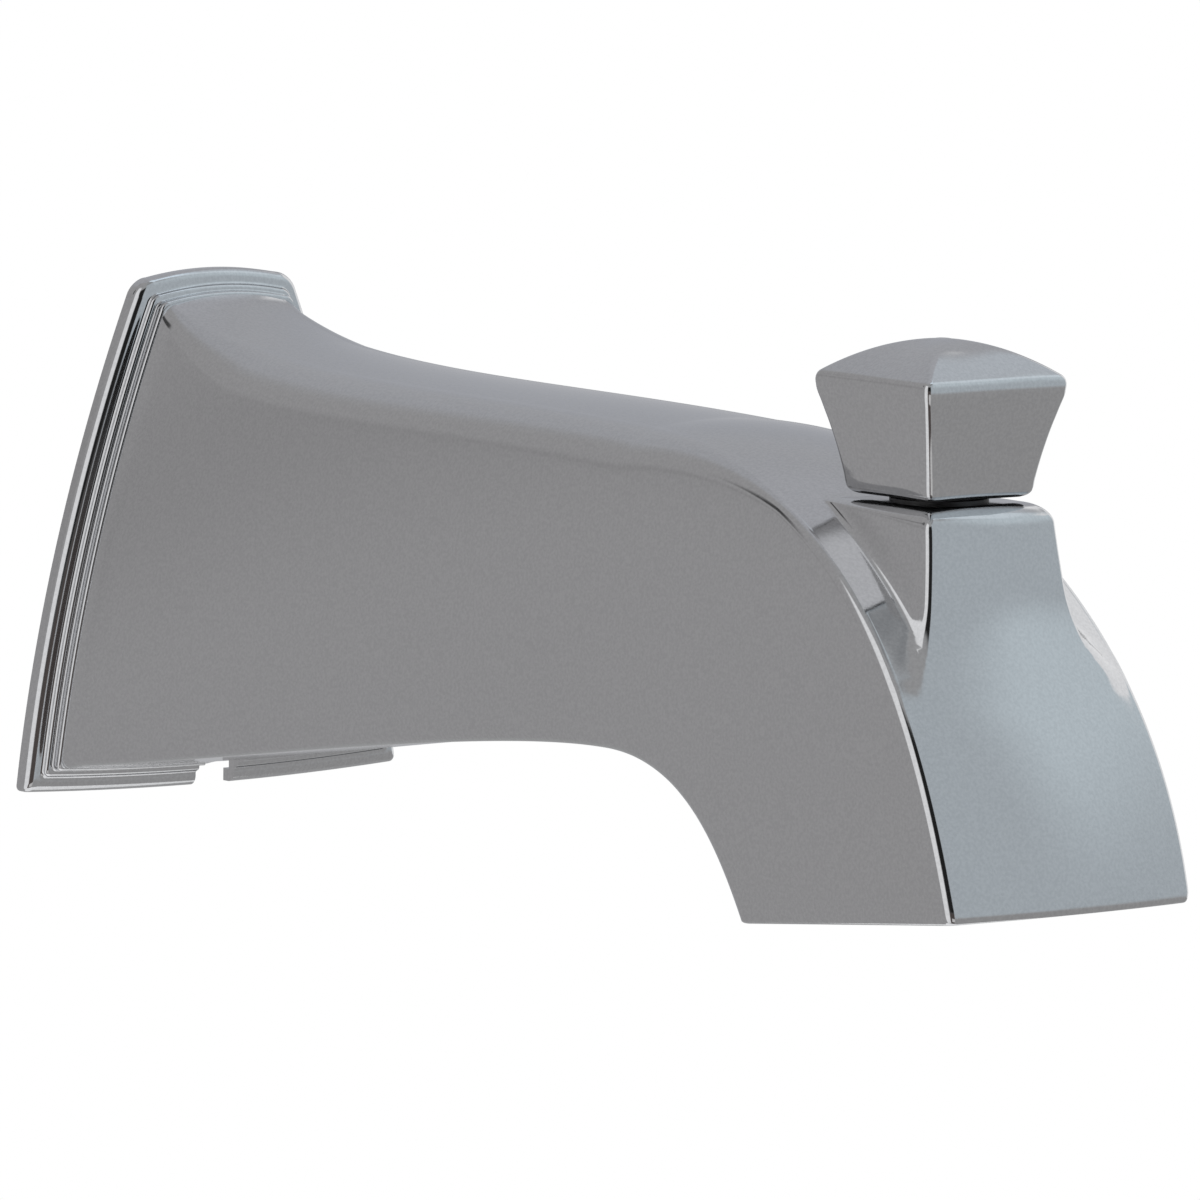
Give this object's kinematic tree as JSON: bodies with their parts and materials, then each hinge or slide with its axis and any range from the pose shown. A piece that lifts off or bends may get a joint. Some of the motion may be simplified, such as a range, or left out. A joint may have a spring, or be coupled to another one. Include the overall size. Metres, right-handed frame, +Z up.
{
  "type": "bath spout",
  "caption": "Wall mounted bath spout with a stepped trapezoid wall flange, a swept hollow body, an open nose outlet and a square pull-up diverter knob.",
  "frame": {"origin": "on the axis of the supply tube, in the plane of the finished wall", "axes": "+X out of the wall along the supply axis, +Z up along the lift rod, +Y sideways; the spout is symmetrical about Y = 0"},
  "size_m": [0.1736, 0.0576, 0.0687],
  "materials": {
    "chrome": "polished chrome plating on cast zinc",
    "brass": "machined",
    "steel": "stainless",
    "rubber": "matte",
    "foam": "closed-cell foam",
    "white_plastic": "moulded acetal",
    "black_plastic": "moulded, glass filled"
  },
  "bodies": {
    "spout": {"spout_body": "chrome", "wall_gasket": "foam", "inlet_socket": "brass", "socket_ring_rear": "rubber", "socket_ring_front": "rubber", "socket_clip": "steel", "clamp_collar": "brass", "clamp_screw": "steel", "carrier_plate": "steel", "carrier_screw_left": "steel", "carrier_screw_right": "steel", "waterway_tube": "brass", "tube_ring_rear": "rubber", "tube_ring_front": "rubber", "valve_housing": "black_plastic", "seat_ring": "white_plastic", "rod_bushing": "black_plastic", "rod_ring": "rubber"},
    "diverter": {"lift_rod": "steel", "rod_clip": "steel", "gate_carriage": "white_plastic", "gate_seal": "rubber", "knob_insert": "brass", "diverter_knob": "chrome"}
  },
  "joints": [
    {"name": "diverter_lift", "type": "slide", "parent": "spout", "child": "diverter", "axis": [0, 0, 1], "range_m": [0, 0.0125]}
  ]
}
